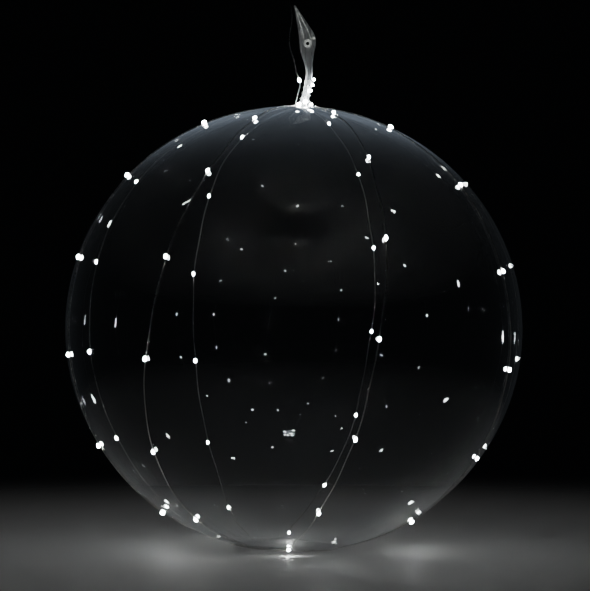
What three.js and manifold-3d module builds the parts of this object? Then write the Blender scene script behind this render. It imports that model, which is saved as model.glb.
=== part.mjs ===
// A clear bubble balloon: one blown plastic film with a neck and a flat tail, wound from end to
// end with a string of small lights on fine silver wire. A free lead rises from the neck.
//
// Millimetres, +Z up. The front faces -Y and +X is on its right. The origin is on the small flat
// spot that the balloon rests on, straight below the film's centre.

import * as THREE from 'three';
import { mergeVertices } from 'three/addons/utils/BufferGeometryUtils.js';
import Module from 'manifold-3d';

// ---- Driving dimensions ----

const GAP = 0.3; // left between pieces that touch

// The blown film is a slightly flattened ball whose neck leans a little to the right.
const FILM_WIDTH = 480;
const FILM_HEIGHT = 467;
const LEAN_DEG = 1.94;
const FLAT_SPOT_RADIUS = 28;
const FILM_SIDES = 44;
const FILM_RINGS = 20;

// The neck and tail, upwards from the film's top. The flap at the end is cut on a slant.
// Each row is [height, middle's place along X, half width, half thickness].
const TAIL_ROWS = [
  [-0.6, 1.6, 13.0, 13.0],
  [0.8, 1.9, 8.6, 8.6],
  [3.5, 2.3, 5.8, 5.8],
  [8.0, 3.2, 4.6, 4.4],
  [16.0, 4.7, 3.9, 3.7],
  [25.0, 6.0, 3.7, 3.4],
  [38.0, 7.0, 3.6, 2.9],
  [48.5, 5.7, 4.8, 2.4],
  [61.0, 4.3, 7.6, 1.9],
  [68.5, 4.4, 8.7, 1.6],
  [76.0, 3.5, 8.8, 1.4],
  [92.5, -3.3, 4.9, 1.2],
  [108.5, -10.8, 0.9, 0.9],
];
const TAIL_SIDES = 12;
const STEPS_PER_ROW = 2;

// The round fill hole through the tail, with its thick ring.
const HOLE_HEIGHT = 68.5;
const HOLE_RADIUS = 1.8;
const RING_RADIUS = 4.7;
const RING_HALF_DEPTH = 2.7;
const RING_SIDES = 12;

// The light string: fine twin wire with a resin drop over each light.
const WIRE_RADIUS = 0.6;
const WIRE_SIDES = 4;
const WIRE_LIFT = 1.5; // the wire's middle above the film
const LIGHT_PITCH = 100;
const LIGHT_RADIUS = 1.6;
const LIGHT_HALF_LENGTH = 2.6;
const LIGHT_SIDES = 5;
const LIGHT_RINGS = 3;
const LIGHT_LIFT = 0.5; // how much further out a drop sits than its wire

// Each run goes from the neck to the foot ring. Its longitude in degrees, from the front round
// to the right, is given at four latitudes, and its first light by its distance from the neck.
const RUN_LATITUDES = [-75, -55, 0, 60];
const RUNS = [
  { longitudes: [-86, -78, -74, -76], firstLight: 103 },
  { longitudes: [-92, -107, -111, -104], firstLight: 103 },
  { longitudes: [-40, -43, -35, -26], firstLight: 104 },
  { longitudes: [-142, -150, -151, -145], firstLight: 110 },
  { longitudes: [-177, -192, -202, -205], firstLight: 67 },
  { longitudes: [1, 10, 20, 25], firstLight: 75 },
  { longitudes: [82, 74, 65, 62], firstLight: 100 },
  { longitudes: [102, 99, 96, 94], firstLight: 89 },
];
const RUN_TOP_LATITUDE = 84;
const RUN_POINTS = 22;
const RUN_STEPS = 23;
const LOWEST_LIGHT_LATITUDE = -75.5;

// The runs turn back round a ring outside the flat spot, and are bound to the neck by a coil.
const FOOT_RING_RADIUS = 54;
const FOOT_RING_STEPS = 36;
const COLLAR_HEIGHT = 4;
const COLLAR_RADIUS = 6.7;
const COLLAR_STEPS = 12;
const COLLAR_LIGHT_LONGITUDES = [-40, 82, -142]; // lights of three runs that begin on the collar
const COLLAR_LIGHT_LIFT = 1;
const NECK_FOOT_RADIUS = 13; // where a run leaves the film for the collar
const COIL_TOP = 30;
const COIL_TURNS = 4.5;
const COIL_STEPS_PER_TURN = 8;

// The free lead beside the tail, held up by its loop. Each point is [x, y, z].
const LEAD_RADIUS = 0.7;
const LEAD_SIDES = 8;
const LEAD_STEPS = 36;
const LEAD_ROUTE = [
  [1.8, -0.4, 468.6],
  [2.6, -0.6, 473.0],
  [3.7, -0.8, 478.0],
  [5.2, -1.0, 483.6],
  [6.4, -1.2, 488.6],
  [6.2, -1.4, 492.6],
  [4.9, -1.5, 497.0],
  [3.0, -1.6, 502.4],
  [1.3, -1.6, 510.0],
  [-0.5, -1.5, 518.0],
  [-3.2, -1.3, 526.0],
  [-4.6, -1.0, 532.4],
  [-4.7, -0.8, 539.4],
  [-3.8, -0.7, 547.4],
  [-2.3, -0.7, 555.4],
  [-2.0, -0.8, 562.0],
  [-2.8, -0.9, 569.0],
  [-4.1, -1.0, 578.0],
  [-4.6, -1.0, 586.0],
];
const LEAD_LIGHT_AT = 0.225; // how far along the lead its light sits, as a share of its length
const KNOT_HALF_LENGTH = 3;
const KNOT_RADIUS = 2;
const LOOP_RADIUS = 8;
const LOOP_STEPS = 24;

// ---- Solids ----

const wasm = await Module();
wasm.setup();

// A closed geometry as a solid, once the corners that faces share are merged.
function solid(geometry) {
  const bare = geometry.clone();
  bare.deleteAttribute('normal');
  bare.deleteAttribute('uv');
  const merged = mergeVertices(bare, 1e-4);
  return new wasm.Manifold(
    new wasm.Mesh({
      numProp: 3,
      vertProperties: merged.getAttribute('position').array,
      triVerts: new Uint32Array(merged.index.array),
    })
  );
}

// A solid as a geometry that a mesh can show.
function shown(body) {
  const mesh = body.getMesh();
  const geometry = new THREE.BufferGeometry();
  geometry.setAttribute('position', new THREE.BufferAttribute(mesh.vertProperties, 3));
  geometry.setIndex(new THREE.BufferAttribute(mesh.triVerts, 1));
  geometry.computeVertexNormals();
  return geometry;
}

const joined = (bodies) => bodies.reduce((whole, body) => whole.add(body));

// A round bar along a curve.
function tube(curve, radius, sides, steps) {
  const section = new THREE.Shape(
    Array.from({ length: sides }, (_, i) => {
      const angle = (2 * Math.PI * i) / sides;
      return new THREE.Vector2(radius * Math.cos(angle), radius * Math.sin(angle));
    })
  );
  return new THREE.ExtrudeGeometry(section, { steps, bevelEnabled: false, extrudePath: curve });
}

// A ball stretched along the direction that it is given.
function drop(radius, halfLength, at, along) {
  const turn = new THREE.Quaternion().setFromUnitVectors(THREE.Object3D.DEFAULT_UP, along);
  const scale = new THREE.Vector3(radius, halfLength, radius);
  return new THREE.SphereGeometry(1, LIGHT_SIDES, LIGHT_RINGS).applyMatrix4(
    new THREE.Matrix4().compose(at, turn, scale)
  );
}

// ---- The balloon's leaning frame ----

const { degToRad, radToDeg } = THREE.MathUtils;
const halfWidth = FILM_WIDTH / 2;
const halfHeight = FILM_HEIGHT / 2;
const lean = degToRad(LEAN_DEG);
const flatSpotDepth = (FLAT_SPOT_RADIUS ** 2 * halfHeight) / (2 * halfWidth ** 2);
const lowest = Math.hypot(halfWidth * Math.sin(lean), halfHeight * Math.cos(lean));
const placed = new THREE.Matrix4()
  .makeTranslation(0, 0, lowest - flatSpotDepth)
  .multiply(new THREE.Matrix4().makeRotationY(lean));

// The film's point at a longitude and latitude, moved outwards along the film's normal.
function onFilm(longitudeDeg, latitudeDeg, outwards) {
  const longitude = degToRad(longitudeDeg);
  const latitude = degToRad(latitudeDeg);
  const side = new THREE.Vector3(Math.sin(longitude), -Math.cos(longitude), 0);
  const point = side.clone().multiplyScalar(halfWidth * Math.cos(latitude));
  point.z = halfHeight * Math.sin(latitude);
  const normal = side.multiplyScalar(Math.cos(latitude) / halfWidth);
  normal.z = Math.sin(latitude) / halfHeight;
  return point.addScaledVector(normal.normalize(), outwards);
}

// The tail's [middle, half width, half thickness] at a height above the film's top.
const tailInterpolant = new THREE.CubicInterpolant(
  TAIL_ROWS.map((row) => row[0]),
  TAIL_ROWS.flatMap((row) => row.slice(1)),
  3
);
const tailAt = (height) => [...tailInterpolant.evaluate(height)];

const footRingLatitude = -radToDeg(Math.acos(FOOT_RING_RADIUS / halfWidth));

// ---- Balloon: film, neck and tail in one ----

// The film's outline turned about its own axis.
function filmGeometry() {
  const outline = Array.from({ length: FILM_RINGS + 1 }, (_, i) => {
    const angle = (Math.PI * i) / FILM_RINGS - Math.PI / 2;
    const onAxis = i === 0 || i === FILM_RINGS;
    return new THREE.Vector2(onAxis ? 0 : halfWidth * Math.cos(angle), halfHeight * Math.sin(angle));
  });
  return new THREE.LatheGeometry(outline, FILM_SIDES).rotateX(Math.PI / 2);
}

// Oval sections one above another, round at the neck and flat towards the tail's tip.
function tailGeometry() {
  const heights = TAIL_ROWS.slice(1).flatMap((row, i) => {
    const below = TAIL_ROWS[i][0];
    return Array.from(
      { length: STEPS_PER_ROW },
      (_, j) => below + ((row[0] - below) * (j + 1)) / STEPS_PER_ROW
    );
  });
  heights.unshift(TAIL_ROWS[0][0]);
  const corners = heights.flatMap((height) => {
    const [middle, half, thick] = tailAt(height);
    return Array.from({ length: TAIL_SIDES }, (_, i) => {
      const angle = (2 * Math.PI * i) / TAIL_SIDES;
      return [middle + half * Math.cos(angle), thick * Math.sin(angle), halfHeight + height];
    });
  });
  const last = corners.length - TAIL_SIDES;
  const faces = [];
  for (let i = 0; i < TAIL_SIDES; i += 1) {
    const next = (i + 1) % TAIL_SIDES;
    for (let row = 0; row < last; row += TAIL_SIDES) {
      const above = row + TAIL_SIDES;
      faces.push(row + i, row + next, above + next);
      faces.push(row + i, above + next, above + i);
    }
    if (i > 0 && next > 0) {
      faces.push(0, next, i);
      faces.push(last, last + i, last + next);
    }
  }
  const geometry = new THREE.BufferGeometry();
  geometry.setAttribute('position', new THREE.Float32BufferAttribute(corners.flat(), 3));
  geometry.setIndex(faces);
  return geometry;
}

// A disc or a bar that goes through the tail from front to back, at the fill hole.
function acrossTail(radius, halfDepth) {
  const [middle] = tailAt(HOLE_HEIGHT);
  return new THREE.CylinderGeometry(radius, radius, 2 * halfDepth, RING_SIDES).translate(
    middle,
    0,
    halfHeight + HOLE_HEIGHT
  );
}

function balloonSolid() {
  const slab = new THREE.BoxGeometry(FILM_WIDTH, FILM_WIDTH, FILM_HEIGHT);
  slab.translate(0, 0, -FILM_HEIGHT / 2);
  return solid(filmGeometry())
    .add(solid(tailGeometry()))
    .add(solid(acrossTail(RING_RADIUS, RING_HALF_DEPTH)))
    .subtract(solid(acrossTail(HOLE_RADIUS, 2 * RING_HALF_DEPTH)))
    .transform(placed.toArray())
    .subtract(solid(slab));
}

// ---- Light string ----

// A run's curve, from the collar over the film to the foot ring.
function runCurve({ longitudes }) {
  const longitudeAt = new THREE.CubicInterpolant(RUN_LATITUDES, longitudes, 1);
  const points = Array.from({ length: RUN_POINTS }, (_, i) => {
    const share = i / (RUN_POINTS - 1);
    const latitude = RUN_TOP_LATITUDE + (footRingLatitude - RUN_TOP_LATITUDE) * share;
    return onFilm(longitudeAt.evaluate(latitude)[0], latitude, WIRE_LIFT);
  });
  const away = points[0].clone().setZ(0).normalize();
  const [middle] = tailAt(COLLAR_HEIGHT);
  const neckFoot = away.clone().multiplyScalar(NECK_FOOT_RADIUS);
  neckFoot.z = halfHeight + WIRE_LIFT;
  const collar = away.clone().multiplyScalar(COLLAR_RADIUS);
  collar.x += middle;
  collar.z = halfHeight + COLLAR_HEIGHT;
  return new THREE.CatmullRomCurve3([collar, neckFoot, ...points]);
}

// The lights of one run, a pitch apart along its wire and clear of the flat spot.
function runLights(curve, firstLight) {
  const length = curve.getLength();
  const lowestLight = halfHeight * Math.sin(degToRad(LOWEST_LIGHT_LATITUDE));
  const lights = [];
  for (let along = firstLight; along < length; along += LIGHT_PITCH) {
    const at = curve.getPointAt(along / length);
    if (at.z > lowestLight) {
      const outwards = at.clone().divide(new THREE.Vector3(halfWidth, halfWidth, halfHeight));
      at.addScaledVector(outwards.normalize(), LIGHT_LIFT);
      lights.push(drop(LIGHT_RADIUS, LIGHT_HALF_LENGTH, at, curve.getTangentAt(along / length)));
    }
  }
  return lights;
}

// The ring that the runs turn round, just outside the flat spot.
function footRing() {
  const at = onFilm(90, footRingLatitude, WIRE_LIFT);
  return new THREE.TorusGeometry(at.x, WIRE_RADIUS, WIRE_SIDES, FOOT_RING_STEPS).translate(0, 0, at.z);
}

// The turn of wire at the neck's foot, where every run begins.
function collar() {
  const [middle] = tailAt(COLLAR_HEIGHT);
  return new THREE.TorusGeometry(COLLAR_RADIUS, WIRE_RADIUS, WIRE_SIDES, COLLAR_STEPS).translate(
    middle,
    0,
    halfHeight + COLLAR_HEIGHT
  );
}

// A light on the collar, along its wire, at a longitude round the neck.
function collarLight(longitudeDeg) {
  const longitude = degToRad(longitudeDeg);
  const [middle] = tailAt(COLLAR_HEIGHT);
  const away = new THREE.Vector3(Math.sin(longitude), -Math.cos(longitude), 0);
  const at = away.clone().multiplyScalar(COLLAR_RADIUS + COLLAR_LIGHT_LIFT);
  at.x += middle;
  at.z = halfHeight + COLLAR_HEIGHT;
  return drop(LIGHT_RADIUS, LIGHT_HALF_LENGTH, at, new THREE.Vector3(-away.y, away.x, 0));
}

// The wire wound up the neck, starting on the collar's left and ending on the neck's right.
class NeckCoil extends THREE.Curve {
  getPoint(share, target = new THREE.Vector3()) {
    const height = COLLAR_HEIGHT + (COIL_TOP - COLLAR_HEIGHT) * share;
    const [middle, half] = tailAt(height);
    const radius = half + WIRE_RADIUS + 2 * GAP;
    const angle = Math.PI * (1 + 2 * COIL_TURNS * share);
    return target.set(
      middle + radius * Math.cos(angle),
      radius * Math.sin(angle),
      halfHeight + height
    );
  }
}

function lightStringSolid() {
  const coil = new NeckCoil();
  const curves = RUNS.map(runCurve);
  const wires = curves.map((curve) => tube(curve, WIRE_RADIUS, WIRE_SIDES, RUN_STEPS));
  const lights = curves.flatMap((curve, i) => runLights(curve, RUNS[i].firstLight));
  const neckLight = coil.getPoint(1);
  neckLight.x += LIGHT_LIFT;
  return joined(
    [
      collar(),
      footRing(),
      tube(coil, WIRE_RADIUS, WIRE_SIDES, COIL_TURNS * COIL_STEPS_PER_TURN),
      drop(LIGHT_RADIUS, LIGHT_HALF_LENGTH, neckLight, coil.getTangent(1)),
      ...COLLAR_LIGHT_LONGITUDES.map(collarLight),
      ...wires,
      ...lights,
    ].map(solid)
  ).transform(placed.toArray());
}

// ---- Free lead ----

const leadCurve = new THREE.CatmullRomCurve3(LEAD_ROUTE.map((point) => new THREE.Vector3(...point)));
const leadTube = (radius) => tube(leadCurve, radius, LEAD_SIDES, LEAD_STEPS);

// The lead's light is a drop of resin round the wire.
function leadLightSolid() {
  const at = leadCurve.getPointAt(LEAD_LIGHT_AT);
  const along = leadCurve.getTangentAt(LEAD_LIGHT_AT);
  const resin = drop(LIGHT_RADIUS + GAP, LIGHT_HALF_LENGTH, at, along);
  return solid(resin).subtract(solid(leadTube(LEAD_RADIUS + GAP)));
}

// The lead ends in a knot with a round hanging loop above it.
function leadLoopSolid() {
  const end = leadCurve.getPointAt(1);
  const knotAt = end.clone().setZ(end.z + GAP + KNOT_HALF_LENGTH);
  const loopHeight = knotAt.z + KNOT_HALF_LENGTH + LOOP_RADIUS - LEAD_RADIUS;
  const loop = new THREE.TorusGeometry(LOOP_RADIUS, LEAD_RADIUS, WIRE_SIDES, LOOP_STEPS)
    .rotateX(Math.PI / 2)
    .translate(end.x, end.y, loopHeight);
  return solid(drop(KNOT_RADIUS, KNOT_HALF_LENGTH, knotAt, new THREE.Vector3(0, 0, 1))).add(solid(loop));
}

// ---- The part ----

const film = new THREE.MeshStandardMaterial({
  color: 0xf2f6fa,
  roughness: 0.05,
  metalness: 0,
  transparent: true,
  opacity: 0.2,
});
const wire = new THREE.MeshStandardMaterial({ color: 0xc9c9c4, roughness: 0.3, metalness: 1 });
const lamp = new THREE.MeshStandardMaterial({
  color: 0xf4f4ec,
  roughness: 0.1,
  metalness: 0,
  emissive: 0xf6f8ff,
});

const balloon = new THREE.Group();
for (const [name, body, material] of [
  ['balloon', balloonSolid(), film],
  ['light_string', lightStringSolid(), wire],
  ['lead', solid(leadTube(LEAD_RADIUS)), wire],
  ['lead_light', leadLightSolid(), lamp],
  ['lead_loop', leadLoopSolid(), wire],
]) {
  const mesh = new THREE.Mesh(shown(body), material);
  mesh.name = name;
  balloon.add(mesh);
}

export default balloon;
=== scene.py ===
import math

import bpy
import numpy as np
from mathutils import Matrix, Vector


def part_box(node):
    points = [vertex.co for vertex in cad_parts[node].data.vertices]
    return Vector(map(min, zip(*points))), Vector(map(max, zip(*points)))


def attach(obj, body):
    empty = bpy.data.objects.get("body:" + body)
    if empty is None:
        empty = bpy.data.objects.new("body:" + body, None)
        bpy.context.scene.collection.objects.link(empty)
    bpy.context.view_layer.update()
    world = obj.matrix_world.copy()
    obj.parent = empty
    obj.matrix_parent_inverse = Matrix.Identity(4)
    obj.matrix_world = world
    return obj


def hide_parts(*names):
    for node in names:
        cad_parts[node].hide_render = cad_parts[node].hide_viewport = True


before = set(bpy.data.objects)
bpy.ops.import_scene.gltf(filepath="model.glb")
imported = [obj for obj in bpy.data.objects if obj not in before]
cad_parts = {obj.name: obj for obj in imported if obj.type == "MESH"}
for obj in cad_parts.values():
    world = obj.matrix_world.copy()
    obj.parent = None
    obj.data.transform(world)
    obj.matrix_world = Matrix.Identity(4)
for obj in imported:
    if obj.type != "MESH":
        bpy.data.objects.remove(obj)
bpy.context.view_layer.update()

# ---- The film ----
# The ball, neck and tail are one sheet of clear stretch film, blown up. The soft plastic is drawn in
# to a narrow neck, where it gathers into fine pleats, and the ball rests on a small flat spot.

low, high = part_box("balloon")
HALF_WIDTH = (high[1] - low[1]) / 2
HEIGHT_TO_WIDTH = 467 / 480
HALF_HEIGHT = HALF_WIDTH * HEIGHT_TO_WIDTH
LEAN = math.radians(1.94)
FLAT_SPOT_RADIUS = 0.028
SEAT_SOFTNESS = 0.0002
SEAT_REACH = 0.01
FILM_THICKNESS = 0.00018
COLUMNS = 200
FILM_ROWS = 112
NECK_LATITUDE = math.radians(87.2)

flat_spot_depth = FLAT_SPOT_RADIUS**2 * HALF_HEIGHT / (2 * HALF_WIDTH**2)
lowest = math.hypot(HALF_WIDTH * math.sin(LEAN), HALF_HEIGHT * math.cos(LEAN))
centre_height = lowest - flat_spot_depth


def turned(points):
    """Turns points about the Y axis by the lean, top towards the right."""
    x, y, z = np.moveaxis(np.asarray(points, float), -1, 0)
    return np.stack(
        [x * math.cos(LEAN) + z * math.sin(LEAN), y, z * math.cos(LEAN) - x * math.sin(LEAN)], axis=-1
    )


def placed(points):
    """Carries points from the balloon's own upright frame to where it rests, leaning on the floor."""
    return turned(points) + [0, 0, centre_height]


def unit(vectors):
    """Vectors made one long."""
    return vectors / np.linalg.norm(vectors, axis=-1, keepdims=True)


def film_normal(longitude, latitude):
    """The ball's outward direction: each share of the point over its half axis, made one long."""
    across = np.cos(latitude) / HALF_WIDTH
    up = np.sin(latitude) / HALF_HEIGHT + 0 * longitude
    return unit(np.stack([across * np.sin(longitude), -across * np.cos(longitude), up], axis=-1))


def on_film(longitude, latitude, outwards=0.0):
    """A flattened ball: the half width times the latitude's cosine across, the half height times its
    sine up, then outwards along the normal. Longitude runs from the front round to the right."""
    across = HALF_WIDTH * np.cos(latitude)
    up = HALF_HEIGHT * np.sin(latitude) + 0 * longitude
    point = np.stack([across * np.sin(longitude), -across * np.cos(longitude), up], axis=-1)
    return point + np.asarray(outwards)[..., None] * film_normal(longitude, latitude)


# Pleats in the ball: depth, number round the axis, how far they wander to the sides, how often they do
# so round the axis, and how far from their end of the ball they reach, in radians.
FINE_PLEATS = (0.00042, 33, 1.3, 3, 0.16)
BROAD_PLEATS = (0.00065, 11, 0.9, 2, 0.34)
FOOT_PLEATS = (0.00030, 27, 1.0, 5, 0.20)
PLEATS_FADE_IN = 0.06


def waves_round(longitude, from_end, depth, number, wander, wanders, reach):
    """A cosine round the axis, its phase moved by a slower sine, that fades as the exponential of the
    angle from the ball's end over the reach."""
    wave = np.cos(number * longitude + wander * np.sin(wanders * longitude))
    return depth * wave * np.exp(-from_end / reach)


def pleats(longitude, latitude):
    """How far the film is drawn in: fine and broad waves from the neck, and weaker ones from the far
    end, which all start from nothing at the axis."""
    from_neck = np.pi / 2 - latitude
    from_foot = np.pi / 2 + latitude
    fine = waves_round(longitude, from_neck, *FINE_PLEATS)
    broad = waves_round(longitude, from_neck, *BROAD_PLEATS)
    foot = waves_round(longitude, from_foot, *FOOT_PLEATS)
    return (fine + broad + foot) * np.clip(np.minimum(from_neck, from_foot) / PLEATS_FADE_IN, 0, 1)


def smooth_through(at, knots, values):
    """A cubic between each two knots. Its slope at a knot is the mean of the slopes on both sides."""
    knots, values = np.asarray(knots, float), np.asarray(values, float)
    flat = values.reshape(len(knots), -1)
    secants = np.diff(flat, axis=0) / np.diff(knots)[:, None]
    slopes = np.concatenate([secants[:1], (secants[1:] + secants[:-1]) / 2, secants[-1:]])
    at = np.clip(at, knots[0], knots[-1])
    i = np.clip(np.searchsorted(knots, at, side="right") - 1, 0, len(knots) - 2)
    step = (knots[i + 1] - knots[i])[:, None]
    t = (at - knots[i])[:, None] / step
    found = (
        (2 * t**3 - 3 * t**2 + 1) * flat[i]
        + (t**3 - 2 * t**2 + t) * step * slopes[i]
        + (3 * t**2 - 2 * t**3) * flat[i + 1]
        + (t**3 - t**2) * step * slopes[i + 1]
    )
    return found.reshape((len(at),) + values.shape[1:])


# The neck and tail, upwards from the ball's top: height, middle's place along X, half width and half
# thickness.
TAIL_ROWS = np.array(
    [
        [-0.0006, 0.0016, 0.0130, 0.0130],
        [0.0008, 0.0019, 0.0086, 0.0086],
        [0.0035, 0.0023, 0.0058, 0.0058],
        [0.0080, 0.0032, 0.0046, 0.0044],
        [0.0160, 0.0047, 0.0039, 0.0037],
        [0.0250, 0.0060, 0.0037, 0.0034],
        [0.0380, 0.0070, 0.0036, 0.0029],
        [0.0485, 0.0057, 0.0048, 0.0024],
        [0.0610, 0.0043, 0.0076, 0.0019],
        [0.0685, 0.0044, 0.0087, 0.0016],
        [0.0760, 0.0035, 0.0088, 0.0014],
        [0.0925, -0.0033, 0.0049, 0.0012],
        [0.1085, -0.0108, 0.0009, 0.0009],
    ]
)
TAIL_START = 0.0003
FLARE_TOP = 0.0090
FLARE_STEPS = 18
TAIL_STEPS = 66
NECK_PLEATS = 9
NECK_PLEAT_DEPTH = 0.14
NECK_PLEATS_AT = 0.018
NECK_PLEATS_REACH = 0.022
NECK_PLEATS_WHOLE_AT = 0.004
NECK_TWIST = 60
FLAP_STARTS_AT = 0.045
FLAP_GROWS_OVER = 0.020
CREASES = 7
CREASE_DEPTH = 0.00030
CREASE_DRIFT = 25
CREASE_PHASE = 1.2
HOLE_HEIGHT = 0.0685
RING_INNER_RADIUS = 0.0018
RING_OUTER_RADIUS = 0.0047


def tail_at(height):
    """The tail's middle, half width and half thickness at heights above the ball's top."""
    return smooth_through(np.atleast_1d(height), TAIL_ROWS[:, 0], TAIL_ROWS[:, 1:])


def tail_rings(heights, angle):
    """Ovals one above another. The neck's are pinched by a cosine that turns as it climbs, in a bell
    shape of the height. Where the tail is flat, a sine of the angle creases it lengthwise."""
    middle, half, thick = tail_at(heights).T[..., None]
    height = heights[:, None]
    bell = np.exp(-(((height - NECK_PLEATS_AT) / NECK_PLEATS_REACH) ** 2))
    in_neck = bell * np.clip(height / NECK_PLEATS_WHOLE_AT, 0, 1)
    in_flap = np.clip((height - FLAP_STARTS_AT) / FLAP_GROWS_OVER, 0, 1)
    pleat = (1 + np.cos(NECK_PLEATS * (angle + NECK_TWIST * height))) / 2
    pinch = 1 - NECK_PLEAT_DEPTH * in_neck * pleat
    wave = np.sin(CREASES * angle + CREASE_DRIFT * height + CREASE_PHASE)
    crease = CREASE_DEPTH * in_flap * wave * np.sqrt(np.abs(np.cos(angle)))
    x = middle + half * pinch * np.cos(angle)
    y = (thick * pinch + crease) * np.sin(angle)
    return np.stack([x, y, HALF_HEIGHT + height + 0 * x], axis=-1)


def skin(name, bodies, closed=False, drop=None):
    """A skin over rings of points, in the shape (bodies, rings, points round, 3), of quads between
    neighbouring rings. The first and last rings are joined to each other if closed, and otherwise
    each to its own mean. Faces point outwards. drop(centres) says which quads are left out."""
    bodies = np.asarray(bodies, float)
    count, rows, columns, _ = bodies.shape
    index = np.arange(count * rows * columns).reshape(count, rows, columns)
    across = np.roll(index, -1, axis=2)
    quads = np.stack([index, across, np.roll(across, -1, axis=1), np.roll(index, -1, axis=1)], axis=-1)
    quads = (quads if closed else quads[:, :-1]).reshape(-1, 4)
    points = bodies.reshape(-1, 3)
    ends = np.empty((0, 3), int)
    if not closed:
        poles = len(points) + np.arange(2 * count).reshape(2, count, 1) + 0 * index[None, :, 0]
        points = np.concatenate([points, bodies[:, 0].mean(axis=1), bodies[:, -1].mean(axis=1)])
        first = np.stack([across[:, 0], index[:, 0], poles[0]], axis=-1)
        last = np.stack([index[:, -1], across[:, -1], poles[1]], axis=-1)
        ends = np.concatenate([first, last]).reshape(-1, 3)
    triangles = np.concatenate([quads[:, :3], quads[:, [0, 2, 3]], ends])
    a, b, c = (points - points.mean(axis=0))[triangles].swapaxes(0, 1)
    if (np.cross(a, b) * c).sum() < 0:
        quads, ends = quads[:, ::-1], ends[:, ::-1]
    if drop is not None:
        quads = quads[~drop(points[quads].mean(axis=1))]
    used, corners = np.unique(np.concatenate([ends.ravel(), quads.ravel()]), return_inverse=True)
    ends, quads = corners[: ends.size].reshape(-1, 3), corners[ends.size :].reshape(-1, 4)
    mesh = bpy.data.meshes.new(name)
    mesh.from_pydata(points[used].tolist(), [], ends.tolist() + quads.tolist())
    mesh.polygons.foreach_set("use_smooth", np.ones(len(mesh.polygons), bool))
    piece = bpy.data.objects.new(name, mesh)
    bpy.context.scene.collection.objects.link(piece)
    return piece


def belongs(piece, slot, *materials, replaces=()):
    """Gives a piece its materials and body, and hides the model's nodes that it stands for.
    The slot is not used.
    """
    for finish in materials:
        piece.data.materials.append(finish)
    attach(piece, "root")
    if replaces:
        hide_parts(*replaces)


around = np.linspace(0, 2 * np.pi, COLUMNS, endpoint=False)[None, :]
latitudes = np.linspace(-np.pi / 2, NECK_LATITUDE, FILM_ROWS + 1)[1:, None]
longitudes = around + np.pi / 2 + 0 * latitudes
ball = on_film(longitudes, latitudes, -pleats(longitudes, latitudes))
flare = np.linspace(TAIL_START, FLARE_TOP, FLARE_STEPS, endpoint=False)
tail_heights = np.concatenate([flare, np.linspace(FLARE_TOP, TAIL_ROWS[-1, 0], TAIL_STEPS)])
balloon_rings = placed(np.concatenate([ball, tail_rings(tail_heights, around)]))
height = balloon_rings[..., 2]
seated = (height + np.hypot(height, SEAT_SOFTNESS)) / 2
balloon_rings[..., 2] = np.where(height < SEAT_REACH, seated, height)

hole_middle = placed([tail_at(HOLE_HEIGHT)[0, 0], 0.0, HALF_HEIGHT + HOLE_HEIGHT])
ring_middle = (RING_INNER_RADIUS + RING_OUTER_RADIUS) / 2


def in_hole(centres):
    """True for faces that are, seen from the front, nearer the hole's middle than the ring's middle."""
    return np.linalg.norm((centres - hole_middle)[:, [0, 2]], axis=1) < ring_middle


balloon = skin("balloon_film", balloon_rings[None], drop=in_hole)
wall = balloon.modifiers.new("wall", "SOLIDIFY")
wall.thickness = FILM_THICKNESS
wall.offset = -1


def effect_group(name, inputs, outputs):
    """A shader node group with float or vector inputs at their usual values, and float outputs."""
    group = bpy.data.node_groups.new(name, "ShaderNodeTree")
    for socket, value in inputs.items():
        kind = "NodeSocketVector" if isinstance(value, tuple) else "NodeSocketFloat"
        group.interface.new_socket(socket, in_out="INPUT", socket_type=kind).default_value = value
    for socket in outputs:
        group.interface.new_socket(socket, in_out="OUTPUT", socket_type="NodeSocketFloat")
    return group, group.nodes.new("NodeGroupInput").outputs, group.nodes.new("NodeGroupOutput").inputs


def join(tree, *pairs):
    """Links each pair's output to its input."""
    for source, target in pairs:
        tree.links.new(source, target)


# Noise over the object, stretched along its axes. Height is the noise itself, and Value is its middle
# part carried onto the range from Lowest to Highest.
NOISE_MIDDLE = (0.3, 0.7)
UNEVEN_INPUTS = {"Scale": 10.0, "Detail": 2.0, "Stretch": (1.0, 1.0, 1.0), "Lowest": 0.0, "Highest": 1.0}
unevenness, given, result = effect_group("unevenness", UNEVEN_INPUTS, ["Value", "Height"])
place = unevenness.nodes.new("ShaderNodeTexCoord")
mapping = unevenness.nodes.new("ShaderNodeMapping")
noise = unevenness.nodes.new("ShaderNodeTexNoise")
fit = unevenness.nodes.new("ShaderNodeMapRange")
fit.inputs["From Min"].default_value, fit.inputs["From Max"].default_value = NOISE_MIDDLE
join(
    unevenness,
    (place.outputs["Object"], mapping.inputs["Vector"]),
    (given["Stretch"], mapping.inputs["Scale"]),
    (mapping.outputs["Vector"], noise.inputs["Vector"]),
    (given["Scale"], noise.inputs["Scale"]),
    (given["Detail"], noise.inputs["Detail"]),
    (noise.outputs["Fac"], fit.inputs["Value"]),
    (given["Lowest"], fit.inputs["To Min"]),
    (given["Highest"], fit.inputs["To Max"]),
    (fit.outputs["Result"], result["Value"]),
    (noise.outputs["Fac"], result["Height"]),
)
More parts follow.
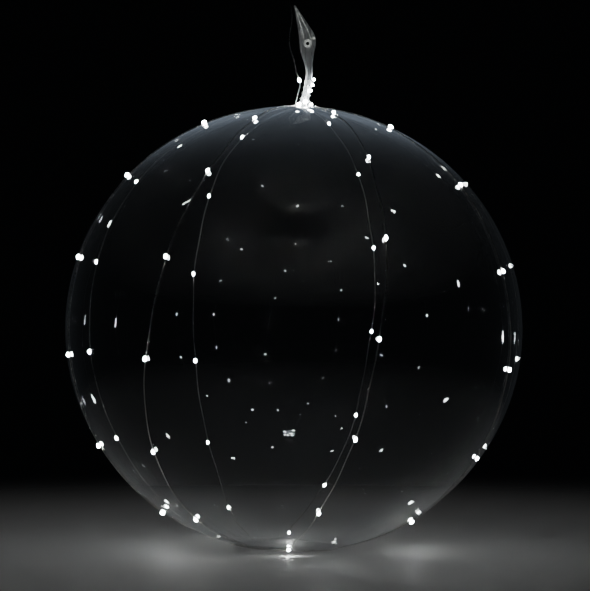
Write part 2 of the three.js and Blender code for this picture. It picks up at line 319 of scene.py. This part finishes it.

# A height mask for painted glow that stands for the neck's lights' light in the film: none at the height
# Gone At and whole at Full At, rising as a power of the share of the way between them.
GLOW_INPUTS = {"Gone At": 0.0, "Full At": 1.0, "Power": 2.0}
neck_glow, given, result = effect_group("neck_glow", GLOW_INPUTS, ["Share"])
place = neck_glow.nodes.new("ShaderNodeTexCoord")
split = neck_glow.nodes.new("ShaderNodeSeparateXYZ")
fit = neck_glow.nodes.new("ShaderNodeMapRange")
power = neck_glow.nodes.new("ShaderNodeMath")
power.operation = "POWER"
join(
    neck_glow,
    (place.outputs["Object"], split.inputs["Vector"]),
    (split.outputs["Z"], fit.inputs["Value"]),
    (given["Gone At"], fit.inputs["From Min"]),
    (given["Full At"], fit.inputs["From Max"]),
    (fit.outputs["Result"], power.inputs[0]),
    (given["Power"], power.inputs[1]),
    (power.outputs["Value"], result["Share"]),
)


class Finish:
    """A material in the making: its Principled shader's plain values, then what varies."""

    def __init__(self, name, **values):
        self.material = bpy.data.materials.new(name)
        self.material.use_nodes = True
        self.tree = self.material.node_tree
        self.shader = self.tree.nodes["Principled BSDF"]
        for socket, value in values.items():
            self.shader.inputs[socket.replace("_", " ")].default_value = value

    def effect(self, group, **values):
        """Places an effect group with its values, and gives its outputs."""
        node = self.tree.nodes.new("ShaderNodeGroup")
        node.node_tree = group
        for socket, value in values.items():
            node.inputs[socket.replace("_", " ")].default_value = value
        return node.outputs

    def vary(self, socket, output):
        """Feeds one of the shader's sockets."""
        self.tree.links.new(output, self.shader.inputs[socket])

    def raise_by(self, output, distance, strength):
        """Bumps the surface by a height."""
        bump = self.tree.nodes.new("ShaderNodeBump")
        bump.inputs["Distance"].default_value = distance
        bump.inputs["Strength"].default_value = strength
        self.tree.links.new(output, bump.inputs["Height"])
        self.vary("Normal", bump.outputs["Normal"])

    def colour_by(self, socket, output, *stops):
        """Feeds a colour socket from a ramp of (place, colour) stops over a value."""
        ramp = self.tree.nodes.new("ShaderNodeValToRGB")
        for element, (at, colour) in zip(ramp.color_ramp.elements, stops):
            element.position = at
            element.color = colour
        self.tree.links.new(output, ramp.inputs["Fac"])
        self.vary(socket, ramp.outputs["Color"])


# Clear film is too thin to bend light, so each face of it lets through all that it doesn't mirror. It
# has smears in its gloss and slow waves in its surface. Its emission is painted light: a faint even
# painted glow for stray light from its own lights, and a brighter painted bluish glow near the neck.
MIRRORED_HEAD_ON = 0.045
PAINTED_STRAY_LIGHT = (0.004, 0.0045, 0.005, 1)
PAINTED_TOP_GLOW = (0.08, 0.095, 0.115, 1)
PAINTED_TOP_GLOW_REACH = 0.125
PAINTED_TOP_GLOW_WHOLE = 0.020
PAINTED_TOP_GLOW_POWER = 4.0
SMEARS = {"Scale": 9.0, "Detail": 3.0, "Stretch": (1, 1, 0.35), "Lowest": 0.01, "Highest": 0.04}
WAVES = {"Scale": 26.0, "Detail": 2.0, "Stretch": (1, 1, 0.45)}
WAVE_HEIGHT = 0.0010
WAVE_STRENGTH = 0.35
clear_film = Finish(
    "clear_film",
    Base_Color=(0.97, 0.985, 1.0, 1),
    Metallic=1.0,
    Emission_Strength=1.0,
)
smears = clear_film.effect(unevenness, **SMEARS)
clear_film.vary("Roughness", smears["Value"])
waves = clear_film.effect(unevenness, **WAVES)
clear_film.raise_by(waves["Height"], WAVE_HEIGHT, WAVE_STRENGTH)

# The mirrored share is Schlick's: the head-on share, and the rest by the fifth power of how far the
# face is turned away. It is the same from both sides of a face.
turned_away = clear_film.tree.nodes.new("ShaderNodeLayerWeight")
turned_away.inputs["Blend"].default_value = 0.5
fifth_power = clear_film.tree.nodes.new("ShaderNodeMath")
fifth_power.operation = "POWER"
fifth_power.inputs[1].default_value = 5.0
mirrored = clear_film.tree.nodes.new("ShaderNodeMapRange")
mirrored.inputs["To Min"].default_value = MIRRORED_HEAD_ON
join(
    clear_film.tree,
    (turned_away.outputs["Facing"], fifth_power.inputs[0]),
    (fifth_power.outputs["Value"], mirrored.inputs["Value"]),
)
clear_film.vary("Alpha", mirrored.outputs["Result"])

# Painted glow: the emission rises with height, from faint painted stray light to a bluish glow at the top.
film_top = 2 * centre_height
painted_top_glow = clear_film.effect(
    neck_glow, Gone_At=film_top - PAINTED_TOP_GLOW_REACH, Full_At=film_top - PAINTED_TOP_GLOW_WHOLE, Power=PAINTED_TOP_GLOW_POWER
)
clear_film.colour_by("Emission Color", painted_top_glow["Share"], (0.0, PAINTED_STRAY_LIGHT), (1.0, PAINTED_TOP_GLOW))

# Where the film is gathered, its many layers are milky. The lights' glow up the neck is painted in as
# emission, whole near the neck's foot and fading higher up.
NECK_FOOT = 0.002
GLOW_REACH = 0.040
GLOW_WHOLE = 0.010
GLOW_POWER = 1.6
PAINTED_NECK_GLOW = (0.40, 0.44, 0.48, 1)
UNLIT = (0, 0, 0, 1)
FOLDS = {"Scale": 260.0, "Detail": 4.0, "Stretch": (1, 1, 0.12), "Lowest": 0.12, "Highest": 0.38}
FOLD_HEIGHT = 0.0008
FOLD_STRENGTH = 0.7
gathered_film = Finish(
    "gathered_film",
    Base_Color=(0.95, 0.96, 0.97, 1),
    Transmission_Weight=0.45,
    IOR=1.42,
    Coat_Weight=0.6,
    Coat_Roughness=0.08,
    Emission_Strength=1.0,
)
neck_foot_height = placed([0.0, 0.0, HALF_HEIGHT + NECK_FOOT])[2]
folds = gathered_film.effect(unevenness, **FOLDS)
gathered_film.vary("Roughness", folds["Value"])
gathered_film.raise_by(folds["Height"], FOLD_HEIGHT, FOLD_STRENGTH)
lit_neck = gathered_film.effect(
    neck_glow,
    Gone_At=neck_foot_height + GLOW_REACH,
    Full_At=neck_foot_height + GLOW_WHOLE,
    Power=GLOW_POWER,
)
# Painted glow: the emission colour is the painted neck glow at the neck's foot, fading to none above.
gathered_film.colour_by("Emission Color", lit_neck["Share"], (0.0, UNLIT), (1.0, PAINTED_NECK_GLOW))

belongs(balloon, "film", clear_film.material, gathered_film.material, replaces=["balloon"])
face_heights = np.array([face.center.z for face in balloon.data.polygons])
balloon.data.polygons.foreach_set("material_index", (face_heights > neck_foot_height).astype(np.int32))

# ---- The fill ring ----
# The round fill hole near the tail's widest place has a thick rim, where both layers of film are
# welded into a ring, with a small bead of plastic beside it on the flap's right edge. Two folds of
# the flap run up from the ring to the tail's tip.

RING_HALF_DEPTH = 0.0025
RING_ROUND = 40
RING_SECTION = 14
WELD_BEAD_FROM_HOLE = [0.0064, -0.0010, 0.0056]
WELD_BEAD_RADIUS = 0.0014
FOLD_ANGLES = [1.5 * np.pi - 0.45, 1.5 * np.pi + 0.35]
FOLD_HEIGHTS = np.linspace(0.0725, 0.1060, 28)
FOLD_RADIUS = 0.00045
FOLD_END = 0.1
FOLD_SIDES = 8
TOWARDS_FRONT = np.array([0.0, -1.0, 0.0])


def directions_along(ahead, outwards):
    """Three directions square to each other and one long: ahead, then outwards less its share that
    lies ahead, then the cross product of those two."""
    ahead = unit(ahead)
    up = unit(outwards - (outwards * ahead).sum(axis=-1, keepdims=True) * ahead)
    return ahead, up, np.cross(ahead, up)


def tube_rings(path, radius, outwards, sides):
    """Circles across a path, each of its own radius: the cosine outwards and the sine sideways."""
    _, up, side = directions_along(np.gradient(path, axis=0), outwards)
    angle = np.linspace(0, 2 * np.pi, sides, endpoint=False)[None, :, None]
    ring = np.cos(angle) * up[:, None] + np.sin(angle) * side[:, None]
    return path[:, None] + np.asarray(radius).reshape(-1, 1, 1) * ring


section = np.linspace(0, 2 * np.pi, RING_SECTION, endpoint=False)
turn = np.linspace(0, 2 * np.pi, RING_ROUND, endpoint=False)[:, None]
ring_half_width = (RING_OUTER_RADIUS - RING_INNER_RADIUS) / 2
ring_reach = ring_middle + ring_half_width * np.cos(section)
ring_depth = RING_HALF_DEPTH * np.sin(section) + 0 * turn
ring_points = np.stack([ring_reach * np.cos(turn), ring_depth, ring_reach * np.sin(turn)], axis=-1)
fill_ring = skin("fill_ring", hole_middle + ring_points[None], closed=True)

rise = np.linspace(-np.pi / 2, np.pi / 2, RING_SECTION + 1)[1:-1, None]
bead = np.stack(
    [np.cos(rise) * np.cos(section), np.cos(rise) * np.sin(section), np.sin(rise) + 0 * section], axis=-1
)
weld_bead = skin("weld_bead", hole_middle + WELD_BEAD_FROM_HOLE + WELD_BEAD_RADIUS * bead[None])

fold_lines = tail_rings(FOLD_HEIGHTS, np.array([FOLD_ANGLES])).swapaxes(0, 1)
fold_radius = FOLD_RADIUS * np.sqrt(np.sin(np.linspace(FOLD_END, np.pi - FOLD_END, len(FOLD_HEIGHTS))))
fold_tubes = [tube_rings(placed(line), fold_radius, TOWARDS_FRONT, FOLD_SIDES) for line in fold_lines]
flap_folds = skin("flap_folds", fold_tubes)

WELD = {"Scale": 420.0, "Detail": 3.0, "Lowest": 0.15, "Highest": 0.40}
WELD_HEIGHT = 0.0005
WELD_STRENGTH = 0.5
# Painted light: a faint painted glow in the noise's hollows and painted highlights on its ridges.
PAINTED_GLOW_IN_HOLLOWS = (0.05, 0.055, 0.05, 1)
PAINTED_GLOW_ON_RIDGES = (0.26, 0.27, 0.25, 1)
welded_film = Finish(
    "welded_film",
    Base_Color=(0.96, 0.97, 0.97, 1),
    Transmission_Weight=0.25,
    IOR=1.45,
    Coat_Weight=1.0,
    Coat_Roughness=0.06,
    Emission_Strength=1.0,
)
weld = welded_film.effect(unevenness, **WELD)
welded_film.vary("Roughness", weld["Value"])
welded_film.raise_by(weld["Height"], WELD_HEIGHT, WELD_STRENGTH)
# Painted glow, as if lit by the lights below: brighter on the noise's ridges, fainter in its hollows.
welded_film.colour_by("Emission Color", weld["Height"], (0.35, PAINTED_GLOW_IN_HOLLOWS), (0.65, PAINTED_GLOW_ON_RIDGES))
for piece in (fill_ring, weld_bead, flap_folds):
    belongs(piece, "film", welded_film.material)

# ---- The light string's wire ----
# One long pair of fine silver-coated wires, twisted together. It is laid over the blown film in loops
# from the neck to the far end and back, turned round the flat spot, and held by its own tension.

STRAND_RADIUS = 0.00030
TWIST_PITCH = 0.0075
STRAND_SIDES = 6
WIRE_LIFT = 0.0008
WIRE_STEP = 0.0012
SWAY = 0.0007
SWAY_FADE = 0.05

# The sway's two waves: length, share of the sway, and how much later it starts on each next loop.
SWAY_WAVES = [(0.163, 1.0, 1.7), (0.071, 0.6, 1.0)]

# Each run's longitudes, in degrees, at these latitudes, and the distance from the collar to its first
# light. Then the runs that are joined at the far end, two to a loop.
RUN_LATITUDES = [-75, -55, 0, 60]
RUNS = [
    ([-86, -78, -74, -76], 0.103),
    ([-92, -107, -111, -104], 0.103),
    ([-40, -43, -35, -26], 0.104),
    ([-142, -150, -151, -145], 0.110),
    ([-177, -192, -202, -205], 0.067),
    ([1, 10, 20, 25], 0.075),
    ([82, 74, 65, 62], 0.100),
    ([102, 99, 96, 94], 0.089),
]
LOOPS = [(1, 6), (0, 7), (2, 4), (3, 5)]
RUN_TOP_LATITUDE = 84
RUN_POINTS = 22
FOOT_RING_RADIUS = 0.053
FOOT_RING_SPACING = 0.0022
FOOT_RING_POINTS = 14
FOOT_TURN = math.radians(9)
ABOVE_FOOT_RING = 2
COLLAR_HEIGHT = 0.004
COLLAR_RADIUS = 0.0067
NECK_FOOT_RADIUS = 0.013


def length_along(path):
    """The distance walked along a path at each of its points."""
    return np.concatenate([[0], np.cumsum(np.linalg.norm(np.diff(path, axis=0), axis=1))])


def smooth_path(points, step):
    """A smooth line through points, sampled about a step apart, by the distance from point to point."""
    points = np.asarray(points, float)
    along = length_along(points)
    return smooth_through(np.linspace(0, along[-1], int(along[-1] / step) + 1), along, points)


def twisted_pair(path, outwards, strand_radius=STRAND_RADIUS, pitch=TWIST_PITCH):
    """Two round strands on opposite sides of a path, each its own radius away from it, that turn
    once a pitch. The rings are in the shape (2, rings, points round, 3)."""
    _, up, side = directions_along(np.gradient(path, axis=0), outwards)
    spin = 2 * np.pi * length_along(path)[:, None] / pitch
    away = np.cos(spin) * up + np.sin(spin) * side
    rings = tube_rings(path, strand_radius, outwards, STRAND_SIDES)
    offset = strand_radius * away[:, None]
    return np.stack([rings + offset, rings - offset])


def foot_latitude(radius):
    """The latitude under the middle where the film is that far from its axis."""
    return -math.acos(radius / HALF_WIDTH)


def run_points(number, lowest_degrees):
    """A run's points from the collar on the neck, over the film, down to a latitude."""
    latitude = np.linspace(RUN_TOP_LATITUDE, lowest_degrees, RUN_POINTS)
    longitude = np.radians(smooth_through(latitude, RUN_LATITUDES, RUNS[number][0]))
    over_film = on_film(longitude, np.radians(latitude), WIRE_LIFT)
    away = unit(over_film[0] * [1, 1, 0])
    neck_foot = NECK_FOOT_RADIUS * away + [0, 0, HALF_HEIGHT + WIRE_LIFT]
    collar = COLLAR_RADIUS * away + [tail_at(COLLAR_HEIGHT)[0, 0], 0, HALF_HEIGHT + COLLAR_HEIGHT]
    return np.concatenate([[collar, neck_foot], over_film])


def loop_path(pair, ring_radius):
    """One loop: down a run, the shorter way round the flat spot on a ring, and up the other run."""
    ring = foot_latitude(ring_radius)
    down, up = (run_points(number, math.degrees(ring) + ABOVE_FOOT_RING) for number in pair)
    start, end = (math.radians(RUNS[number][0][0]) for number in pair)
    sweep = (end - start + np.pi) % (2 * np.pi) - np.pi
    turn_in = math.copysign(FOOT_TURN, sweep)
    arc = start + np.linspace(turn_in, sweep - turn_in, FOOT_RING_POINTS)
    return np.concatenate([down, on_film(arc, ring + 0 * arc, WIRE_LIFT), up[::-1]])


def swaying(path, outwards, number):
    """Moves a path sideways over the film by two sine waves that fade out at its ends."""
    along = length_along(path)
    sideways = unit(np.cross(np.gradient(path, axis=0), outwards))
    fade = np.clip(np.minimum(along, along[-1] - along) / SWAY_FADE, 0, 1)
    waves = sum(
        share * np.sin(2 * np.pi * along / length + later * number) for length, share, later in SWAY_WAVES
    )
    return path + (SWAY * fade * waves)[:, None] * sideways


BRIGHT_SILVER = (0.86, 0.86, 0.84, 1)
TARNISHED_SILVER = (0.60, 0.58, 0.53, 1)
silver_wire = Finish("silver_wire", Metallic=1.0, Coat_Weight=0.35, Coat_Roughness=0.1)
tarnish = silver_wire.effect(unevenness, Scale=700.0, Detail=3.0, Lowest=0.18, Highest=0.42)
silver_wire.vary("Roughness", tarnish["Value"])
silver_wire.colour_by("Base Color", tarnish["Height"], (0.35, BRIGHT_SILVER), (0.68, TARNISHED_SILVER))

halves = []
for number, pair in enumerate(LOOPS):
    path = smooth_path(loop_path(pair, FOOT_RING_RADIUS + number * FOOT_RING_SPACING), WIRE_STEP)
    outwards = unit(path / [HALF_WIDTH**2, HALF_WIDTH**2, HALF_HEIGHT**2])
    path = swaying(path, outwards, number)
    loop = skin(f"wire_loop_{number + 1}", placed(twisted_pair(path, outwards)))
    belongs(loop, "wire", silver_wire.material, replaces=["light_string"] if number == 0 else [])
    middle = len(path) // 2
    halves.append((path[:middle], outwards[:middle], RUNS[pair[0]][1]))
    halves.append((path[:middle:-1], outwards[:middle:-1], RUNS[pair[1]][1]))

# ---- The lights ----
# Each light is a tiny chip soldered between the two wires and sealed in a drop of clear resin, the
# shape of a grain. They are set a hand's width apart along the wire, and shine a cool white.

LIGHT_PITCH = 0.100
LOWEST_LIGHT_LATITUDE = math.radians(-75.5)
DROP_RADIUS = 0.0017
DROP_HALF_LENGTH = 0.0026
GLOW_SHARE = 0.70
DROP_LIFT = 0.0013
DROP_ROUND = 12
DROP_ROWS = 9
DROP_END = 1.45
SMALLEST_DROP = 0.88
SIZE_STEP = 2.4
FULLER = 0.2
FULLER_STEP = 1.7


def drops(places, ahead, outwards, share_of_size, fuller):
    """Grain-shaped drops along their wire. The radius is the root of one minus the square of the way
    along, and a little fuller towards one end. The shape is (drops, rings, points round, 3)."""
    share = np.sin(np.linspace(-DROP_END, DROP_END, DROP_ROWS))[None, :, None, None]
    angle = np.linspace(0, 2 * np.pi, DROP_ROUND, endpoint=False)[None, None, :, None]
    place, ahead, up, side = (v[:, None, None] for v in (places, *directions_along(ahead, outwards)))
    size, fuller = (np.asarray(v)[:, None, None, None] for v in (share_of_size, fuller))
    radius = DROP_RADIUS * size * (1 + fuller * share) * np.sqrt(1 - share**2)
    across = radius * (np.cos(angle) * up + np.sin(angle) * side)
    return place + DROP_HALF_LENGTH * size * share * ahead + across


# The resin is full of its chip's light, and shines itself.
COOLEST = (0.86, 0.93, 1.0, 1)
WARMEST = (0.97, 0.98, 0.94, 1)
lit_resin = Finish(
    "lit_resin",
    Base_Color=(0.99, 0.99, 0.97, 1),
    Transmission_Weight=1.0,
    IOR=1.5,
    Emission_Strength=60.0,
)
ripple = lit_resin.effect(unevenness, Scale=500.0, Detail=2.0, Lowest=0.02, Highest=0.10)
lit_resin.vary("Roughness", ripple["Value"])
lit_resin.raise_by(ripple["Height"], 0.0004, 0.4)
lit_resin.colour_by("Emission Color", ripple["Height"], (0.3, COOLEST), (0.7, WARMEST))

lit_chip = Finish("lit_chip", Base_Color=(0.95, 0.93, 0.80, 1), Roughness=0.4, Emission_Strength=40.0)
chip_grain = lit_chip.effect(unevenness, Scale=900.0, Detail=1.0)
lit_chip.colour_by("Emission Color", chip_grain["Value"], (0.0, COOLEST), (1.0, WARMEST))


def add_lights(name, places, ahead, outwards, replaces=()):
    """Adds drops of resin and the lit chips inside them, as two pieces, at placed points. Sine steps
    from drop to drop make them uneven in size and in which end is fuller."""
    order = np.arange(len(places))
    size = SMALLEST_DROP + (1 - SMALLEST_DROP) * (1 + np.sin(SIZE_STEP * order)) / 2
    fuller = FULLER * np.sin(FULLER_STEP * order)
    resin = skin(f"{name}_drops", drops(places, ahead, outwards, size, fuller))
    chips = skin(f"{name}_chips", drops(places, ahead, outwards, GLOW_SHARE * size, 0 * fuller))
    belongs(resin, "lamp", lit_resin.material, replaces=replaces)
    belongs(chips, "lamp", lit_chip.material)
    return [resin, chips]


def set_on(line, outwards, distances):
    """Points at distances along a line, raised off the film by a drop's lift, with the line's and
    the film's directions there. They are still in the balloon's own frame."""
    index = np.searchsorted(length_along(line), distances)
    return line[index] + DROP_LIFT * outwards[index], line[index + 1] - line[index - 1], outwards[index]


found = []
for line, outwards, first_light in halves:
    reach = length_along(line)[-2]
    places, ahead, out = set_on(line, outwards, np.arange(first_light, reach, LIGHT_PITCH))
    clear = places[:, 2] > HALF_HEIGHT * math.sin(LOWEST_LIGHT_LATITUDE)
    found.append((places[clear], ahead[clear], out[clear]))
places, ahead, out = (np.concatenate(v) for v in zip(*found))
add_lights("string_light", placed(places), turned(ahead), turned(out))

# ---- The neck's binding ----
# The loops meet in two turns of the wire round the foot of the neck. From there it is wound up the
# neck to hold it shut. The string's lights go on along the winding, so the neck's foot is brightest.

COIL_TOP = 0.030
COIL_TURNS = 4.5
COLLAR_TURNS = 2.0
COLLAR_RISE = 0.0011
COIL_CLEARANCE = 0.0008
COIL_STEPS_PER_TURN = 56
COIL_TWIST_PITCH = 0.006

# Where the lights are, in turns of the wire from the neck's left.
LIGHTS_AT_TURNS = np.array([0.139, 0.478, 0.856, 2.28, 3.75, 4.35, 5.62, 6.49])


def coil_at(turns):
    """Points round the neck: two turns on the collar that close in from its radius, then a helix
    that climbs to the coil's top and keeps a clearance from the neck."""
    climbed = np.clip((turns - COLLAR_TURNS) / COIL_TURNS, 0, 1)
    foot = COLLAR_HEIGHT + COLLAR_RISE * (np.minimum(turns, COLLAR_TURNS) / COLLAR_TURNS - 0.5)
    height = foot + (COIL_TOP - COLLAR_HEIGHT) * climbed
    middle, half, _ = tail_at(height).T
    radius = half + COIL_CLEARANCE
    angle = math.pi + 2 * math.pi * turns
    away = np.stack([np.cos(angle), np.sin(angle), 0 * angle], axis=-1)
    foot_of_ring = np.stack([middle, 0 * middle, HALF_HEIGHT + height], axis=-1)
    return foot_of_ring + radius[:, None] * away, away


turns_in_all = COLLAR_TURNS + COIL_TURNS
coil, coil_out = coil_at(np.linspace(0, turns_in_all, int(turns_in_all * COIL_STEPS_PER_TURN)))
binding = skin("neck_binding", placed(twisted_pair(coil, coil_out, pitch=COIL_TWIST_PITCH)))
belongs(binding, "wire", silver_wire.material)

A_LITTLE_BEFORE = 0.01
on_coil, out = coil_at(LIGHTS_AT_TURNS)
before, _ = coil_at(LIGHTS_AT_TURNS - A_LITTLE_BEFORE)
add_lights("neck_light", placed(on_coil + DROP_LIFT * out), turned(on_coil - before), turned(out))

# ---- The lead ----
# The free end of the same twisted pair. It leaves the binding on the left, carries one more light, and
# rises beside the tail to the knot and loop that it is held by.

LEAD_ROUTE = [
    [0.0018, -0.0004, 0.4686],
    [0.0026, -0.0006, 0.4730],
    [0.0037, -0.0008, 0.4780],
    [0.0052, -0.0010, 0.4836],
    [0.0064, -0.0012, 0.4886],
    [0.0062, -0.0014, 0.4926],
    [0.0049, -0.0015, 0.4970],
    [0.0030, -0.0016, 0.5024],
    [0.0013, -0.0016, 0.5100],
    [-0.0005, -0.0015, 0.5180],
    [-0.0032, -0.0013, 0.5260],
    [-0.0046, -0.0010, 0.5324],
    [-0.0047, -0.0008, 0.5394],
    [-0.0038, -0.0007, 0.5474],
    [-0.0023, -0.0007, 0.5554],
    [-0.0020, -0.0008, 0.5620],
    [-0.0028, -0.0009, 0.5690],
    [-0.0041, -0.0010, 0.5780],
    [-0.0046, -0.0010, 0.5860],
]
LEAD_DIAMETER = 0.0014
LEAD_STEP = 0.0008
LEAD_TWIST_PITCH = 0.0085
LEAD_LIGHT_SHARE = 0.225

lead_path = smooth_path(LEAD_ROUTE, LEAD_STEP)
lead = skin("lead_wire", twisted_pair(lead_path, TOWARDS_FRONT, LEAD_DIAMETER / 4, LEAD_TWIST_PITCH))
belongs(lead, "wire", silver_wire.material, replaces=["lead"])

lit_at = int(LEAD_LIGHT_SHARE * len(lead_path))
lead_lights = add_lights(
    "lead_light_grain",
    lead_path[[lit_at]],
    lead_path[[lit_at + 1]] - lead_path[[lit_at]],
    TOWARDS_FRONT[None],
    replaces=["lead_light"],
)

LOOP_RADIUS = 0.008
LOOP_STEP = 0.0005
KNOT_HALF_LENGTH = 0.003
KNOT_RADIUS = 0.0013
KNOT_TURNS = 3
KNOT_GAP = 0.0003
KNOT_TOP, KNOT_FOOT = 0.8, -0.7
LOOP_OPENS_BY = 0.10 * np.pi
LOOP_TWIST_PITCH = 0.0065
knot_middle = np.array(LEAD_ROUTE[-1]) + [0, 0, KNOT_GAP + KNOT_HALF_LENGTH]


def knotted_loop():
    """The wire rises through the knot, goes once round an upright ring above it, and comes down to
    wind round its own foot."""
    foot = knot_middle + np.linspace(-1, 0.4, 4)[:, None] * [0, 0, KNOT_HALF_LENGTH]
    ring_centre = knot_middle + [0, 0, KNOT_HALF_LENGTH + LOOP_RADIUS - LEAD_DIAMETER / 2]
    round_ring = np.linspace(LOOP_OPENS_BY - np.pi / 2, 1.5 * np.pi - LOOP_OPENS_BY, 18)
    ring_away = np.stack([np.cos(round_ring), 0 * round_ring, np.sin(round_ring)], -1)
    share = np.linspace(0, 1, 8 * KNOT_TURNS)
    wind = 2 * np.pi * KNOT_TURNS * share
    height = KNOT_HALF_LENGTH * (KNOT_TOP + (KNOT_FOOT - KNOT_TOP) * share)
    winding = np.stack([-KNOT_RADIUS * np.cos(wind), -KNOT_RADIUS * np.sin(wind), height], -1)
    line = [foot, ring_centre + LOOP_RADIUS * ring_away, knot_middle + winding]
    return smooth_path(np.concatenate(line), LOOP_STEP)


loop_line = knotted_loop()
loop_out = TOWARDS_FRONT + 0.2 * unit(loop_line - knot_middle)
hanging_loop = skin("hanging_loop", twisted_pair(loop_line, loop_out, LEAD_DIAMETER / 4, LOOP_TWIST_PITCH))
belongs(hanging_loop, "wire", silver_wire.material, replaces=["lead_loop"])

# ---- The floor, the light and the camera ----
# The balloon rests on a plain pale floor that falls away into a dim room, so that its lights show.
# One broad soft lamp hangs above. The film doesn't mirror it, so that only the lights show in it.

FLOOR_RADIUS = 1.6
FLOOR_DROP = 0.0004
FLOOR_SIDES = 96
FLOOR_FADES_FROM = 0.30
FLOOR_GONE_AT = 1.25

rim = np.linspace(0, 2 * np.pi, FLOOR_SIDES, endpoint=False)
floor_rim = np.stack([FLOOR_RADIUS * np.cos(rim), FLOOR_RADIUS * np.sin(rim), 0 * rim - FLOOR_DROP], -1)
floor_mesh = bpy.data.meshes.new("floor")
floor_mesh.from_pydata(floor_rim.tolist(), [], [list(range(FLOOR_SIDES))])
floor = bpy.data.objects.new("floor", floor_mesh)
bpy.context.scene.collection.objects.link(floor)

pale_floor = Finish("pale_floor", Base_Color=(0.80, 0.80, 0.79, 1))
scuffs = pale_floor.effect(unevenness, Scale=14.0, Detail=4.0, Lowest=0.50, Highest=0.65)
pale_floor.vary("Roughness", scuffs["Value"])
place = pale_floor.tree.nodes.new("ShaderNodeTexCoord")
away = pale_floor.tree.nodes.new("ShaderNodeVectorMath")
away.operation = "LENGTH"
fade = pale_floor.tree.nodes.new("ShaderNodeMapRange")
fade.interpolation_type = "SMOOTHERSTEP"
fade.inputs["From Min"].default_value = FLOOR_FADES_FROM
fade.inputs["From Max"].default_value = FLOOR_GONE_AT
fade.inputs["To Min"].default_value = 1.0
fade.inputs["To Max"].default_value = 0.0
join(
    pale_floor.tree,
    (place.outputs["Object"], away.inputs[0]),
    (away.outputs["Value"], fade.inputs["Value"]),
)
pale_floor.vary("Alpha", fade.outputs["Result"])
floor_mesh.materials.append(pale_floor.material)

ROOM_COLOUR = (0.80, 0.90, 1.0, 1)
ROOM_DIM = 0.0015
room = bpy.data.worlds.new("dim_room")
bpy.context.scene.world = room
room.use_nodes = True
room_nodes = room.node_tree.nodes
background = room_nodes["Background"]
background.inputs["Color"].default_value = ROOM_COLOUR
background.inputs["Strength"].default_value = ROOM_DIM

LAMP_POWER = 2.2
LAMP_SIDE = 1.3
LAMP_AT = (-0.5, -0.7, 1.9)
lamp_light = bpy.data.lights.new("lamp_above", "AREA")
lamp_light.shape = "RECTANGLE"
lamp_light.size = LAMP_SIDE
lamp_light.size_y = LAMP_SIDE
lamp_light.energy = LAMP_POWER
lamp = bpy.data.objects.new("lamp_above", lamp_light)
bpy.context.scene.collection.objects.link(lamp)
lamp.location = LAMP_AT
to_balloon = Vector((0, 0, centre_height)) - lamp.location
lamp.rotation_euler = to_balloon.to_track_quat("-Z", "Y").to_euler()
lamp.visible_camera = False
lamp.visible_glossy = False

CAMERA_DISTANCE = 9 * HALF_WIDTH
LENS = 124.6
AIM_ABOVE_CENTRE = 0.035
AIM_RIGHT_OF_CENTRE = 0.0012

camera = bpy.data.objects.new("camera", bpy.data.cameras.new("camera"))
bpy.context.scene.collection.objects.link(camera)
camera.data.lens = LENS
camera.location = (0, -CAMERA_DISTANCE, centre_height)
aim_up = math.atan2(AIM_ABOVE_CENTRE, CAMERA_DISTANCE)
aim_right = math.atan2(AIM_RIGHT_OF_CENTRE, CAMERA_DISTANCE)
camera.rotation_euler = (math.pi / 2 + aim_up, 0, -aim_right)
bpy.context.scene.camera = camera
